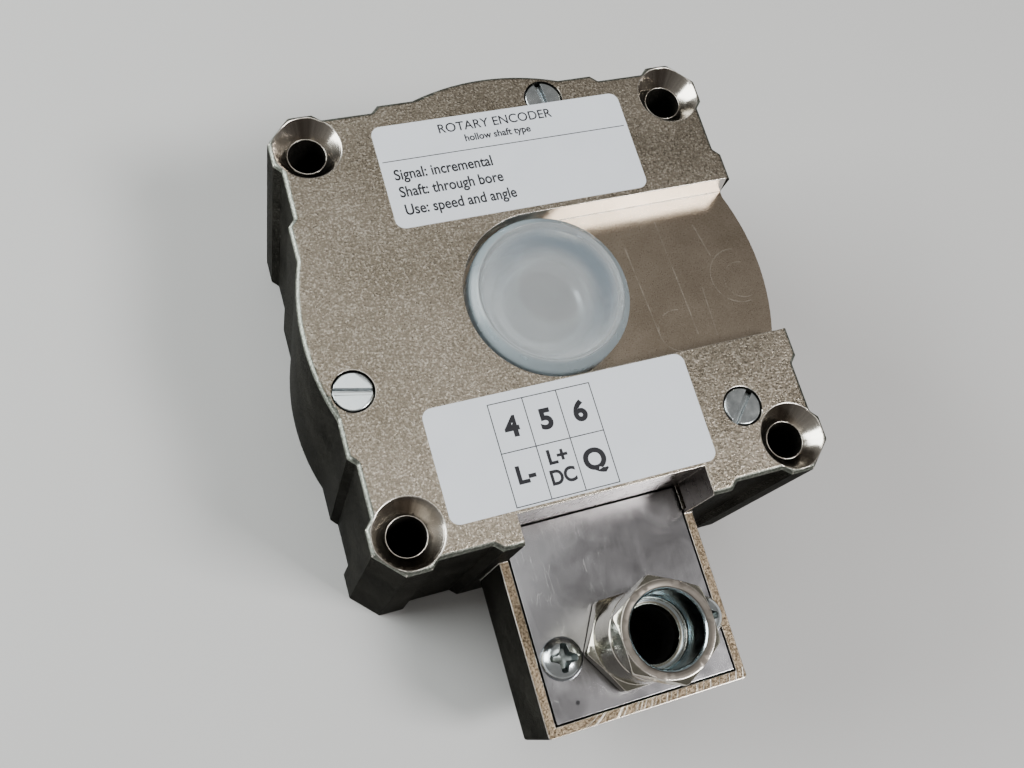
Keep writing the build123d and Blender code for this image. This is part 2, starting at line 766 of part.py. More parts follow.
pan_radius, pan_height = 3.9, 2.3
with BuildPart() as lid_screws:
    for x, y in lid_screw_spots:
        with BuildSketch(Plane(origin=(x, y, box_top), x_dir=(1, 0, 0), z_dir=(0, -1, 0))):
            with BuildLine():
                Polyline((0, pan_height), (0, 0), (pan_radius, 0), (pan_radius, 0.8))
                ThreePointArc((pan_radius, 0.8), (0.72 * pan_radius, 0.82 * pan_height), (0, pan_height))
            make_face()
        revolve(axis=Axis((x, y, 0), (0, 0, 1)))
        round_bar((x, y), 2.0 - slip, box_floor + 5, box_top)
        for turn in (-12, 78):
            slot_cut((x, y), turn, 5.2, 1.35, box_top + 0.9, box_top + 4)
lid_screws.part.label = "lid_screws"
export_step(lid_screws.part, "parts/lid_screws.step")

# ---- cable gland --------------------------------------------------------
gland_centre = (0, gland_y)
body_turn, screw_turn = 1.0, 33.0
hex_chamfer = 0.75
seal_low = gland_hex_top - 1.2
washer_low, washer_high = 43.9, 44.9
seal_high = washer_low - running
screw_tip = washer_high + running
cup_radius = 6.35


def hexagon_bar(low, high, turn, flats):
    """A hexagonal bar about the gland's axis."""
    with BuildSketch(Plane.XY.offset(low)) as hexagon:
        with Locations(Location((0, gland_y, 0), (0, 0, turn))):
            RegularPolygon(flats / 2, 6, major_radius=False)
    extrude(hexagon.sketch, amount=high - low)


with BuildPart() as gland_body:
    hexagon_bar(gland_gasket_top, gland_hex_top, body_turn, gland_flats)
    turned(
        [
            (0, gland_gasket_top),
            (gland_corner, gland_gasket_top),
            (gland_corner, gland_hex_top - hex_chamfer),
            (gland_barrel_radius, gland_hex_top),
            (0, gland_hex_top),
        ],
        centre=gland_centre,
        mode=Mode.INTERSECT,
    )
    round_bar(gland_centre, entry_thread_radius - slip, 27.0, gland_gasket_top)
    round_bar(gland_centre, gland_barrel_radius, gland_hex_top, gland_barrel_top)
    round_bar(gland_centre, entry_bore_radius, 26, gland_barrel_top + 1, Mode.SUBTRACT)
    round_bar(gland_centre, screw_thread_radius + running, seal_low, gland_barrel_top + 1, Mode.SUBTRACT)
    chamfer(gland_body.edges().group_by(Axis.Z)[-1], 0.25)
gland_body.part.label = "gland_body"
export_step(gland_body.part, "parts/gland_body.step")

with BuildPart() as gland_gasket:
    turned(
        [
            (entry_thread_radius, box_top),
            (gland_barrel_radius, box_top),
            (gland_barrel_radius, gland_gasket_top),
            (entry_thread_radius, gland_gasket_top),
        ],
        centre=gland_centre,
    )
gland_gasket.part.label = "gland_gasket"
export_step(gland_gasket.part, "parts/gland_gasket.step")

with BuildPart() as gland_locknut:
    hexagon_bar(lid_bottom - 3.0, lid_bottom, 15.0, 16.6)
    round_bar(gland_centre, entry_thread_radius, lid_bottom - 4, lid_bottom + 1, Mode.SUBTRACT)
gland_locknut.part.label = "gland_locknut"
export_step(gland_locknut.part, "parts/gland_locknut.step")

with BuildPart() as gland_seal:
    turned([(5.2, seal_low), (7.0, seal_low), (7.0, seal_high), (5.2, seal_high)], centre=gland_centre)
gland_seal.part.label = "gland_seal"
export_step(gland_seal.part, "parts/gland_seal.step")

with BuildPart() as gland_washer:
    inside, outside = 5.2, 6.9
    turned(
        [(inside, washer_low), (outside, washer_low), (outside, washer_high), (inside, washer_high)],
        centre=gland_centre,
    )
gland_washer.part.label = "gland_washer"
export_step(gland_washer.part, "parts/gland_washer.step")

with BuildPart() as gland_pressure_screw:
    hexagon_bar(screw_head_low, gland_top, screw_turn, gland_flats)
    turned(
        [
            (0, screw_head_low),
            (gland_barrel_radius, screw_head_low),
            (gland_barrel_radius, screw_collar_top),
            (gland_corner, screw_collar_top + 3.3),
            (gland_corner, gland_top - hex_chamfer),
            (8.05, gland_top),
            (0, gland_top),
        ],
        centre=gland_centre,
        mode=Mode.INTERSECT,
    )
    round_bar(gland_centre, screw_thread_radius, screw_tip, screw_head_low)
    turned(
        [
            (0, screw_tip - 1),
            (5.0, screw_tip - 1),
            (5.0, 47.2),
            (5.9, 47.5),
            (5.95, 47.8),
            (6.15, 47.9),
            (cup_radius, 48.6),
            (cup_radius, gland_top - 0.8),
            (cup_radius + 0.15, gland_top - 0.35),
            (cup_radius + 0.4, gland_top - 0.08),
            (cup_radius + 0.6, gland_top),
            (0, gland_top),
        ],
        centre=gland_centre,
        mode=Mode.SUBTRACT,
    )
gland_pressure_screw.part.label = "gland_pressure_screw"
export_step(gland_pressure_screw.part, "parts/gland_pressure_screw.step")

# ---- cap and labels -----------------------------------------------------
cap_radius, cap_top, cap_wall = 15.2, 51.9, 1.3
rim_round = 1.5
skirt_radius = roof_bore_radius - running
rim_low = cap_top - 0.1 - rim_round
rim_middle = rim_round * cos(radians(45))
with BuildPart() as shaft_cap:
    with BuildSketch(Plane.XZ):
        with BuildLine():
            Polyline(
                (0, cap_top),
                (0, cap_top - cap_wall),
                (cap_radius - cap_wall - 1.0, cap_top - cap_wall - 0.2),
                (cap_radius - cap_wall - 0.4, slot_floor + 1.0),
                (skirt_radius - 1.2, slot_floor),
                (skirt_radius - 1.2, slot_floor - 4.0),
                (skirt_radius - 0.4, slot_floor - 4.0),
                (skirt_radius, slot_floor - 3.2),
                (skirt_radius, slot_floor),
                (cap_radius, slot_floor),
                (cap_radius, rim_low),
            )
            ThreePointArc(
                (cap_radius, rim_low),
                (cap_radius - rim_round + rim_middle, rim_low + rim_middle),
                (cap_radius - rim_round, rim_low + rim_round),
            )
            Line((cap_radius - rim_round, rim_low + rim_round), (0, cap_top))
        make_face()
    revolve(axis=Axis.Z)
shaft_cap.part.label = "shaft_cap"
export_step(shaft_cap.part, "parts/shaft_cap.step")


def label_plate(corners):
    """A thin sticker with rounded corners on the top face."""
    (x1, y1), (x2, y2) = corners
    with BuildPart() as sticker:
        with BuildSketch(Plane.XY.offset(body_height)):
            with Locations(((x1 + x2) / 2, (y1 + y2) / 2)):
                RectangleRounded(x2 - x1, y2 - y1, 1.8)
        extrude(amount=label_thickness)
    return sticker


rating_label = label_plate(rating_label_box)
rating_label.part.label = "rating_label"
export_step(rating_label.part, "parts/rating_label.step")

connection_label = label_plate(connection_label_box)
connection_label.part.label = "connection_label"
export_step(connection_label.part, "parts/connection_label.step")
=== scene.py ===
import json
import math

import bmesh
import bpy
from mathutils import Matrix, Vector


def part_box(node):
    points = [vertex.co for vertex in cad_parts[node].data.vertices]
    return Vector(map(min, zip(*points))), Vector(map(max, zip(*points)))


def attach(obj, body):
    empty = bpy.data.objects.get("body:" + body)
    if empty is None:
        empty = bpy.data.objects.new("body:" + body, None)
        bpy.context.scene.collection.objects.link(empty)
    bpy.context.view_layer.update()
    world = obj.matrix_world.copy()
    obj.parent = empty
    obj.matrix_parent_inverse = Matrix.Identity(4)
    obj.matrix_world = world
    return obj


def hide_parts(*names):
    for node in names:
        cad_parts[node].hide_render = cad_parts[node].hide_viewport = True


# Everything is in the frame of the CAD: metres, origin on the shaft axis at the mounting face, +Z
# towards the labelled face, -Y towards the terminal box. Places and sizes below are in millimetres
# unless they say otherwise, and MM turns them into metres.
MM = 0.001

HOLE_XY = 36.0  # the mounting holes' axes, to either side of the shaft axis in x and in y
SEAM_Y = -46.0  # where the casting's two nodes join
GLAND_Y = -62.2  # the gland's axis, at x = 0
LID_SCREW_X = (-13.2, 14.5)
LID_SCREW_Y = -61.9
LABEL_TOP = 51.15

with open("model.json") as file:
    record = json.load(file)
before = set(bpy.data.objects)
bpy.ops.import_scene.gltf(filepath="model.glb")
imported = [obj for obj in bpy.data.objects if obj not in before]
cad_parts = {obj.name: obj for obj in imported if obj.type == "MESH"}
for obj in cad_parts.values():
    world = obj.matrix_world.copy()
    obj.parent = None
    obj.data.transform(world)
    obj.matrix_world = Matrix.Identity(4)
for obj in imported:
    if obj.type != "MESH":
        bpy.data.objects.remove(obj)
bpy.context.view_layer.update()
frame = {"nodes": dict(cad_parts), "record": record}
nodes = frame["nodes"]
rows = {row["node"]: row for row in frame["record"]["subparts"]}
scene = bpy.context.scene


# ---- node material helper -------------------------------------------------
class Shader:
    """A small wrapper that builds one material's node tree. Coordinates are in millimetres."""

    def __init__(self, name):
        self.mat = bpy.data.materials.new(name)
        self.mat.use_nodes = True
        self.tree = self.mat.node_tree
        self.tree.nodes.clear()
        out = self.add("ShaderNodeOutputMaterial")
        self.bsdf = self.add("ShaderNodeBsdfPrincipled")
        self.link(self.bsdf.outputs["BSDF"], out.inputs["Surface"])
        coords = self.add("ShaderNodeTexCoord")
        scale = self.add("ShaderNodeVectorMath", operation="SCALE")
        self.link(coords.outputs["Object"], scale.inputs[0])
        scale.inputs["Scale"].default_value = 1 / MM
        self.mm = scale.outputs[0]

    def add(self, kind, **props):
        node = self.tree.nodes.new(kind)
        for key, value in props.items():
            setattr(node, key, value)
        return node

    def link(self, a, b):
        self.tree.links.new(a, b)

    def put(self, socket, value):
        """Links a socket, or sets a plain value."""
        if isinstance(value, bpy.types.NodeSocket):
            self.link(value, socket)
        else:
            socket.default_value = value

    def put_colour(self, socket, value):
        self.put(socket, (*value, 1) if isinstance(value, tuple) else value)

    def stretch(self, scale, turn=(0, 0, 0)):
        node = self.add("ShaderNodeMapping")
        self.link(self.mm, node.inputs["Vector"])
        node.inputs["Rotation"].default_value = [math.radians(t) for t in turn]
        node.inputs["Scale"].default_value = scale
        return node.outputs[0]

    def noise(self, scale, detail=2.0, rough=0.5, vector=None, distort=0.0):
        node = self.add("ShaderNodeTexNoise")
        self.link(vector or self.mm, node.inputs["Vector"])
        node.inputs["Scale"].default_value = scale
        node.inputs["Detail"].default_value = detail
        node.inputs["Roughness"].default_value = rough
        node.inputs["Distortion"].default_value = distort
        return node.outputs["Fac"]

    def cells(self, scale, output, feature="F1", vector=None):
        node = self.add("ShaderNodeTexVoronoi", feature=feature)
        self.link(vector or self.mm, node.inputs["Vector"])
        node.inputs["Scale"].default_value = scale
        return node.outputs[output]

    def math(self, operation, a, b=0.0, clamp=False):
        node = self.add("ShaderNodeMath", operation=operation, use_clamp=clamp)
        for socket, value in zip(node.inputs, (a, b)):
            self.put(socket, value)
        return node.outputs[0]

    def product(self, *values, clamp=False):
        result = values[0]
        for value in values[1:]:
            result = self.math("MULTIPLY", result, value, clamp)
        return result

    def span(self, value, low, high, to_low=0.0, to_high=1.0):
        node = self.add("ShaderNodeMapRange")
        for socket, v in zip(node.inputs, (value, low, high, to_low, to_high)):
            self.put(socket, v)
        return node.outputs[0]

    def spread(self, noise, to_low=0.0, to_high=1.0):
        """Maps the range in which most of a noise's values lie."""
        return self.span(noise, 0.3, 0.7, to_low, to_high)

    def mix(self, factor, a, b):
        node = self.add("ShaderNodeMix", data_type="RGBA")
        self.put(node.inputs["Factor"], factor)
        self.put_colour(node.inputs[6], a)
        self.put_colour(node.inputs[7], b)
        return node.outputs[2]

    def axes(self, vector=None):
        node = self.add("ShaderNodeSeparateXYZ")
        self.link(vector or self.mm, node.inputs[0])
        return node.outputs

    def combine(self, x, y=0.0, z=0.0):
        node = self.add("ShaderNodeCombineXYZ")
        for socket, value in zip(node.inputs, (x, y, z)):
            self.put(socket, value)
        return node.outputs[0]

    def distance_to(self, x, y, fold=False):
        """Distance in the plan from a point, or from its mirror images in both axes."""
        px, py, _ = self.axes()
        if fold:
            px, py = self.math("ABSOLUTE", px), self.math("ABSOLUTE", py)
        dx, dy = self.math("SUBTRACT", px, x), self.math("SUBTRACT", py, y)
        return self.math("SQRT", self.math("ADD", self.product(dx, dx), self.product(dy, dy)))

    def bump(self, height, depth, strength=1.0, under=None):
        node = self.add("ShaderNodeBump")
        node.inputs["Strength"].default_value = strength
        node.inputs["Distance"].default_value = depth * MM
        self.link(height, node.inputs["Height"])
        if under is not None:
            self.link(under, node.inputs["Normal"])
        return node.outputs[0]

    def finish(self, colour, metallic=0.0, rough=0.5, normal=None, **extra):
        self.put_colour(self.bsdf.inputs["Base Color"], colour)
        self.put(self.bsdf.inputs["Metallic"], metallic)
        self.put(self.bsdf.inputs["Roughness"], rough)
        if normal is not None:
            self.link(normal, self.bsdf.inputs["Normal"])
        for key, value in extra.items():
            self.put(self.bsdf.inputs[key.replace("_", " ")], value)
        return self.mat


# ---- materials ------------------------------------------------------------
def cast_skin(name, dark, light, painted_glint, rough, depth, grazing=(1, 1, 1)):
    """Satin nickel over a cast skin: grey with small dark pits and a fine grain whose peaks carry painted
    glints.
    """
    s = Shader(name)
    grain = s.noise(2.7, 2, 0.55)
    fine = s.noise(6.5, 2, 0.6)
    facets = s.axes(s.cells(3.0, "Color"))[0]
    soft = s.noise(0.07, 3, 0.5)
    tone = s.mix(s.spread(soft), dark, light)
    tone = s.mix(s.span(grain, 0.34, 0.48, 0.40, 0.0), tone, tuple(0.4 * part for part in dark))
    # Painted glints: the grain's peaks take a bright colour.
    tone = s.mix(s.span(grain, 0.52, 0.70, 0.0, 0.60), tone, painted_glint)
    worn = s.spread(soft, -0.04, 0.04)
    rough_value = s.math("ADD", s.span(facets, 0, 1, rough - 0.08, rough + 0.10), worn)
    height = s.math("ADD", grain, s.product(fine, 0.35))
    return s.finish(tone, 1.0, rough_value, s.bump(height, depth, 0.8), Specular_Tint=(*grazing, 1))


def slot_floor():
    """The milled slot across the face: brown grey, with tool scratches and a few arcs."""
    scratches = ((19.6, -0.06, -11, 8), (27.4, -0.04, -12, 12), (36.5, -0.2, 3, 10), (32.0, 0.03, -13, -3))
    arcs = ((40.6, -3.0, 3.7), (40.0, -2.0, 5.6), (24.5, -10.5, 4.2))
    s = Shader("slot_floor")
    x, y, _ = s.axes()
    fine = s.noise(4.0, 3, 0.6)
    soft = s.noise(0.12, 3, 0.6)
    tone = s.mix(s.spread(soft), (0.33, 0.27, 0.205), (0.42, 0.35, 0.275))
    tone = s.mix(s.span(fine, 0.5, 0.8, 0.0, 0.35), tone, (0.62, 0.57, 0.50))
    marks = None
    for at, lean, low, high in scratches:
        off = s.math("ABSOLUTE", s.math("SUBTRACT", s.math("SUBTRACT", x, s.product(y, lean)), at))
        line = s.span(off, 0.0, 0.16, 1.0, 0.0)
        line = s.product(line, s.math("GREATER_THAN", y, low), s.math("LESS_THAN", y, high))
        marks = line if marks is None else s.math("MAXIMUM", marks, line)
    for cx, cy, radius in arcs:
        off = s.math("ABSOLUTE", s.math("SUBTRACT", s.distance_to(cx, cy), radius))
        arc = s.product(s.span(off, 0.0, 0.14, 1.0, 0.0), s.math("LESS_THAN", x, cx + 1.0))
        marks = s.math("MAXIMUM", marks, arc)
    marks = s.product(marks, s.span(s.noise(0.5, 2), 0.35, 0.6, 0.15, 0.9), clamp=True)
    tone = s.mix(s.product(marks, 0.55), tone, (0.86, 0.80, 0.70))
    height = s.math("SUBTRACT", s.product(fine, 0.7), s.product(marks, 0.6))
    return s.finish(tone, 1.0, s.span(fine, 0.2, 0.8, 0.24, 0.36), s.bump(height, 0.03, 0.6))


def turned_nickel():
    """The turned cones of the mounting holes: fine rings, and fans round each axis painted light and dark:
    painted highlight and painted shade.
    """
    s = Shader("turned_nickel")
    away = s.distance_to(HOLE_XY, HOLE_XY, fold=True)
    rings = s.noise(1.0, 2, 0.5, s.combine(s.product(away, 3.0)))
    x, y, _ = s.axes()
    across = s.math("SUBTRACT", x, s.product(s.math("SIGN", x), HOLE_XY))
    along = s.math("SUBTRACT", y, s.product(s.math("SIGN", y), HOLE_XY))
    turn = s.math("ARCTAN2", along, across)
    streaks = s.noise(1.0, 3, 0.6, s.combine(s.product(turn, 5.0)))
    # Painted highlight on the sides of each cone that lie along x from its axis, painted shade on those that
    # lie along y.
    painted_highlight_lobes = s.math("POWER", s.math("ABSOLUTE", s.math("COSINE", turn)), 1.5)
    painted_highlight_lobes = s.math("ADD", painted_highlight_lobes, s.spread(streaks, -0.15, 0.15), clamp=True)
    tone = s.mix(painted_highlight_lobes, (0.13, 0.11, 0.092), (0.62, 0.58, 0.52))
    return s.finish(tone, 1.0, s.spread(rings, 0.12, 0.24), s.bump(rings, 0.015, 0.5))


def milled_rim():
    """The cut edge of the terminal box: coarse grain, with the cutter's bright arcs at the front."""
    s = Shader("milled_rim")
    _, y, _ = s.axes()
    coarse = s.noise(2.6, 2, 0.6)
    fine = s.noise(7.0, 2, 0.6)
    arcs = s.noise(1.0, 1, 0.5, s.combine(s.product(s.distance_to(-16.0, -64.0), 1.6)))
    arcs = s.product(s.span(arcs, 0.54, 0.62), s.math("LESS_THAN", y, -72.4), clamp=True)
    tone = s.mix(s.span(coarse, 0.38, 0.62), (0.10, 0.074, 0.048), (0.34, 0.27, 0.19))
    tone = s.mix(s.product(arcs, 0.6), tone, (0.92, 0.86, 0.78))
    height = s.math("ADD", coarse, s.math("ADD", s.product(fine, 0.4), s.product(arcs, 0.7)))
    return s.finish(tone, 1.0, s.spread(fine, 0.26, 0.44), s.bump(height, 0.16, 0.9))


def machined_metal(name, dark, light, rough, grain=5.0, depth=0.008, about=None):
    """A machined metal with fine tool marks, along one direction or round an axis."""
    s = Shader(name)
    tone = s.mix(s.spread(s.noise(0.25, 3, 0.5)), dark, light)
    if about is None:
        marks = s.noise(1.0, 3, 0.5, s.stretch((grain * 0.03, grain, grain)))
    else:
        away = s.product(s.distance_to(*about), grain)
        marks = s.noise(1.0, 3, 0.5, s.combine(away, 0.0, s.product(s.axes()[2], grain)))
    return s.finish(tone, 1.0, s.spread(marks, rough - 0.05, rough + 0.07), s.bump(marks, depth, 0.6))


def brushed_lid():
    """The plate under the gland: brushed, cool grey, with faint stains, stray scratches and a pit."""
    s = Shader("brushed_lid")
    brush = s.noise(1.0, 3, 0.6, s.stretch((9.0, 0.14, 1.0), (0, 0, 5)))
    stains = s.noise(0.16, 4, 0.55, distort=0.8)
    tone = s.mix(s.spread(stains), (0.355, 0.35, 0.37), (0.435, 0.43, 0.45))
    edges = s.cells(0.5, "Distance", "DISTANCE_TO_EDGE", s.stretch((1.5, 0.25, 1.0), (0, 0, 12)))
    patches = s.span(s.noise(0.3, 1), 0.54, 0.60)
    scratches = s.product(s.span(edges, 0.0, 0.014, 1.0, 0.0), patches, clamp=True)
    tone = s.mix(s.product(scratches, 0.35), tone, (0.88, 0.88, 0.88))
    pit = s.span(s.distance_to(-12.6, -69.8), 0.25, 0.5, 0.85, 0.0)
    tone = s.mix(pit, tone, (0.08, 0.08, 0.09))
    rough = s.math("ADD", s.spread(stains, 0.17, 0.24), s.spread(brush, -0.015, 0.015))
    height = s.math("SUBTRACT", s.product(brush, 0.3), s.product(scratches, 0.6))
    return s.finish(tone, 1.0, rough, s.bump(height, 0.003, 0.5))


def plated(name, dark, light, rough, depth=0.01):
    """Nickel or zinc plate: nearly smooth, with faint clouding."""
    s = Shader(name)
    cloud = s.noise(0.5, 4, 0.6)
    fine = s.noise(5.0, 3, 0.6)
    tone = s.mix(s.spread(cloud), dark, light)
    return s.finish(tone, 1.0, s.spread(cloud, rough - 0.04, rough + 0.06), s.bump(fine, depth, 0.5))


def moulded(name, dark, light, rough, grain=3.0, depth=0.02, **extra):
    """Moulded plastic or rubber with a faint texture."""
    s = Shader(name)
    fine = s.noise(grain, 4, 0.6)
    tone = s.mix(s.noise(0.3, 2), dark, light)
    rough_value = s.spread(fine, rough - 0.05, rough + 0.05)
    return s.finish(tone, 0.0, rough_value, s.bump(fine, depth, 0.6), **extra)


def label_film():
    """White printed film: cool white, satin, with a barely uneven surface."""
    s = Shader("label_film")
    wave = s.noise(0.12, 2)
    fine = s.noise(6.0, 2)
    tone = s.mix(wave, (0.72, 0.76, 0.83), (0.79, 0.83, 0.89))
    normal = s.bump(wave, 0.25, 0.4, s.bump(fine, 0.004, 0.5))
    return s.finish(tone, 0.0, s.spread(fine, 0.34, 0.42), normal, Specular_IOR_Level=0.4)


def milky_cap():
    """Milky plastic, partly clear, with what lies under its face painted in as shade: a darker disc over the
    shaft's bore, a darker band far from the terminal box, and a rim that is less clear and painted darker."""
    s = Shader("milky_cap")
    away = s.distance_to(0, 0)
    cloud = s.noise(0.13, 3, 0.5)
    fine = s.noise(2.0, 3)
    rim = s.span(away, 13.3, 13.9)
    tone = s.mix(cloud, (0.80, 0.86, 0.90), (0.90, 0.94, 0.96))
    x, y, _ = s.axes()
    # Painted shade: a darker band far from the terminal box, where the space under the face lies in shadow.
    far_side = s.span(s.math("ADD", s.product(x, 0.75), s.product(y, 0.66)), -7.0, 9.0)
    painted_shade_band = s.product(s.span(away, 6.6, 9.2), s.span(away, 11.0, 12.9, 1.0, 0.0))
    tone = s.mix(s.product(painted_shade_band, far_side, 0.9), tone, (0.44, 0.52, 0.60))
    # Painted shade over the shaft's dark bore under the face.
    tone = s.mix(s.span(away, 5.4, 6.6, 0.35, 0.0), tone, (0.62, 0.62, 0.63))
    # The rim is less clear and rougher, and its darker tone is painted shade.
    tone = s.mix(rim, tone, (0.50, 0.59, 0.64))
    clear = s.span(away, 13.3, 13.9, 0.74, 0.55)
    rough = s.math("ADD", s.spread(cloud, 0.17, 0.25), s.product(rim, 0.05))
    return s.finish(tone, 0.0, rough, s.bump(fine, 0.008, 0.5), Transmission_Weight=clear, IOR=1.42)


def disc_glass():
    """Clear glass with a ring of dark radial marks and a solid dark ring."""
    s = Shader("disc_glass")
    x, y, _ = s.axes()
    away = s.distance_to(0, 0)

    def ring(inner, outer):
        return s.product(s.math("GREATER_THAN", away, inner), s.math("LESS_THAN", away, outer))

    marks = s.math("GREATER_THAN", s.math("SINE", s.product(s.math("ARCTAN2", y, x), 250)), 0)
    dark = s.math("MAXIMUM", s.product(marks, ring(24.6, 27.6)), ring(22.6, 23.4))
    tone = s.mix(dark, (0.78, 0.88, 0.86), (0.03, 0.03, 0.035))
    clear = s.product(s.math("SUBTRACT", 1.0, dark), 0.85)
    return s.finish(tone, 0.0, 0.06, s.bump(s.noise(0.5, 2), 0.002), Transmission_Weight=clear, IOR=1.5)


def board_green():
    """Solder mask with the copper tracks showing through it."""
    s = Shader("board_green")
    fine = s.noise(3.0, 3)
    traces = s.math("GREATER_THAN", s.cells(0.35, "Distance", "DISTANCE_TO_EDGE"), 0.06)
    tone = s.mix(traces, (0.05, 0.22, 0.10), (0.02, 0.13, 0.06))
    return s.finish(tone, 0.0, 0.32, s.bump(s.math("ADD", traces, fine), 0.01, 0.4))


SHAFT_AXIS = (0, 0)
MATS = {
    "cast_top": cast_skin(
        "cast_top", (0.27, 0.232, 0.18), (0.35, 0.305, 0.245), (0.92, 0.85, 0.74), 0.32, 0.11
    ),
    # The edge, side and inside finishes are darker copies of the cast top, picked by where the faces turn or
    # lie: painted shade. The sides' low grazing tint damps their reflections, also painted shade.
    "cast_edge": cast_skin(
        "cast_edge", (0.14, 0.15, 0.13), (0.20, 0.21, 0.185), (0.45, 0.47, 0.42), 0.38, 0.07, (0.5, 0.5, 0.5)
    ),
    "cast_side": cast_skin(
        "cast_side", (0.055, 0.054, 0.05), (0.09, 0.088, 0.08), (0.16, 0.155, 0.14), 0.40, 0.06,
        (0.08, 0.08, 0.075),
    ),
    "cast_inside": cast_skin(
        "cast_inside", (0.07, 0.065, 0.06), (0.10, 0.095, 0.085), (0.16, 0.15, 0.13), 0.50, 0.06
    ),
    # Broken edges: bright where the plating is worn or cut, and brighter still as a painted highlight.
    "edge": plated("worn_edge_and_highlight", (0.60, 0.56, 0.50), (0.72, 0.68, 0.62), 0.24, 0.02),
    "slot": slot_floor(),
    "wall": plated("milled_wall", (0.66, 0.63, 0.59), (0.78, 0.75, 0.71), 0.20, 0.015),
    "notch": plated("notch_wall", (0.27, 0.245, 0.23), (0.36, 0.33, 0.31), 0.28, 0.02),
    "turned": turned_nickel(),
    "rim": milled_rim(),
    "matt_ring": machined_metal("matt_ring", (0.10, 0.09, 0.078), (0.15, 0.135, 0.12), 0.38, 3.0, 0.02),
    # The cross recesses' darker zinc is painted shade.
    "recess": plated("zinc_recess_painted_shade", (0.20, 0.23, 0.23), (0.30, 0.33, 0.33), 0.30),
    "bright_zinc": plated("bright_zinc", (0.50, 0.57, 0.60), (0.64, 0.71, 0.74), 0.14),
    "machined_aluminium": machined_metal(
        "machined_aluminium", (0.60, 0.60, 0.61), (0.72, 0.72, 0.73), 0.30, 4.0, 0.01, SHAFT_AXIS
    ),
    "brushed_aluminium": brushed_lid(),
    "stainless_steel": machined_metal(
        "stainless_steel", (0.56, 0.56, 0.56), (0.68, 0.68, 0.67), 0.24, 5.0, 0.006, SHAFT_AXIS
    ),
    "bearing_steel": machined_metal(
        "bearing_steel", (0.62, 0.63, 0.65), (0.72, 0.73, 0.75), 0.12, 6.0, 0.002, SHAFT_AXIS
    ),
    "spring_steel": machined_metal("spring_steel", (0.16, 0.155, 0.16), (0.24, 0.23, 0.235), 0.32),
    "black_steel": machined_metal("black_steel", (0.04, 0.04, 0.045), (0.08, 0.08, 0.085), 0.35),
    "zinc_steel": plated("zinc_steel", (0.58, 0.63, 0.66), (0.72, 0.765, 0.78), 0.21),
    "nickel_brass": plated("nickel_brass", (0.34, 0.325, 0.27), (0.46, 0.445, 0.375), 0.17),
    "cage_brass": machined_metal("cage_brass", (0.60, 0.42, 0.16), (0.74, 0.55, 0.25), 0.28),
    "clamp_brass": machined_metal("clamp_brass", (0.66, 0.58, 0.36), (0.78, 0.70, 0.48), 0.26),
    "black_rubber": moulded("black_rubber", (0.008, 0.008, 0.008), (0.018, 0.017, 0.016), 0.62),
    "gasket_fibre": moulded("gasket_fibre", (0.05, 0.045, 0.04), (0.09, 0.08, 0.07), 0.75),
    "mask_glass": moulded("mask_glass", (0.02, 0.022, 0.03), (0.04, 0.042, 0.05), 0.15, depth=0.002),
    "lamp_lens": moulded(
        "lamp_lens", (0.75, 0.60, 0.35), (0.85, 0.72, 0.48), 0.15, depth=0.004, Transmission_Weight=0.6
    ),
    "black_plastic": moulded("black_plastic", (0.018, 0.018, 0.02), (0.035, 0.035, 0.037), 0.45),
    "capacitor_sleeve": moulded("capacitor_sleeve", (0.02, 0.03, 0.10), (0.035, 0.05, 0.15), 0.3),
    "terminal_plastic": moulded("terminal_plastic", (0.05, 0.20, 0.12), (0.08, 0.28, 0.17), 0.42),
    "wire_insulation": moulded("wire_insulation", (0.45, 0.05, 0.04), (0.58, 0.08, 0.06), 0.4),
    "ink": moulded(
        "label_ink", (0.016, 0.016, 0.02), (0.03, 0.03, 0.035), 0.6, 5.0, 0.003, Specular_IOR_Level=0.2
    ),
    "label_white": label_film(),
    "cap_plastic": milky_cap(),
    "disc_glass": disc_glass(),
    "board_green": board_green(),
}

for name, node in nodes.items():
    slot_name = rows[name]["material_slot"]
    if slot_name in MATS:
        node.data.materials.clear()
        node.data.materials.append(MATS[slot_name])


# ---- mesh helpers -------------------------------------------------------------
def add_object(name, data):
    obj = bpy.data.objects.new(name, data)
    scene.collection.objects.link(obj)
    return obj


def mesh_of(bm, name, *finishes):
    """Turns a bmesh into a mesh with the named finishes, and frees the bmesh."""
    mesh = bpy.data.meshes.new(name)
    bm.to_mesh(mesh)
    bm.free()
    for finish in finishes:
        mesh.materials.append(MATS[finish])
    return mesh


def place(obj, body, slot, *replaced):
    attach(obj, body)
    if replaced:
        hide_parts(*replaced)


def shade(bm, angle):
    """Smooths all faces, and keeps the edges that turn by more than angle (degrees) sharp."""
    for f in bm.faces:
        f.smooth = True
    for e in bm.edges:
        e.smooth = e.is_manifold and e.calc_face_angle(0) < math.radians(angle)


def turns(count):
    """Evenly spaced angles round a circle, starting at 0."""
    return [2 * math.pi * k / count for k in range(count)]


def ring_at(bm, points, z):
    """A ring of vertices from points in the plan."""
    return [bm.verts.new((x * MM, y * MM, z * MM)) for x, y in points]


def bridge(bm, rings):
    """Joins each ring of vertices to the next with faces. A ring of one vertex is a tip."""
    for a, b in zip(rings, rings[1:]):
        count = max(len(a), len(b))
        for k in range(count):
            n = (k + 1) % count
            if len(a) == 1:
                bm.faces.new((a[0], b[n], b[k]))
            elif len(b) == 1:
                bm.faces.new((a[k], a[n], b[0]))
            else:
                bm.faces.new((a[k], a[n], b[n], b[k]))


def lathe(bm, profile, x, y, steps=96):
    """Turns a profile of (radius, height) points about a vertical axis at x, y."""
    rings = []
    for radius, z in profile:
        around = [(x + radius * math.cos(t), y + radius * math.sin(t)) for t in turns(steps)]
        rings.append(ring_at(bm, around if radius > 0 else [(x, y)], z))
    bridge(bm, rings)


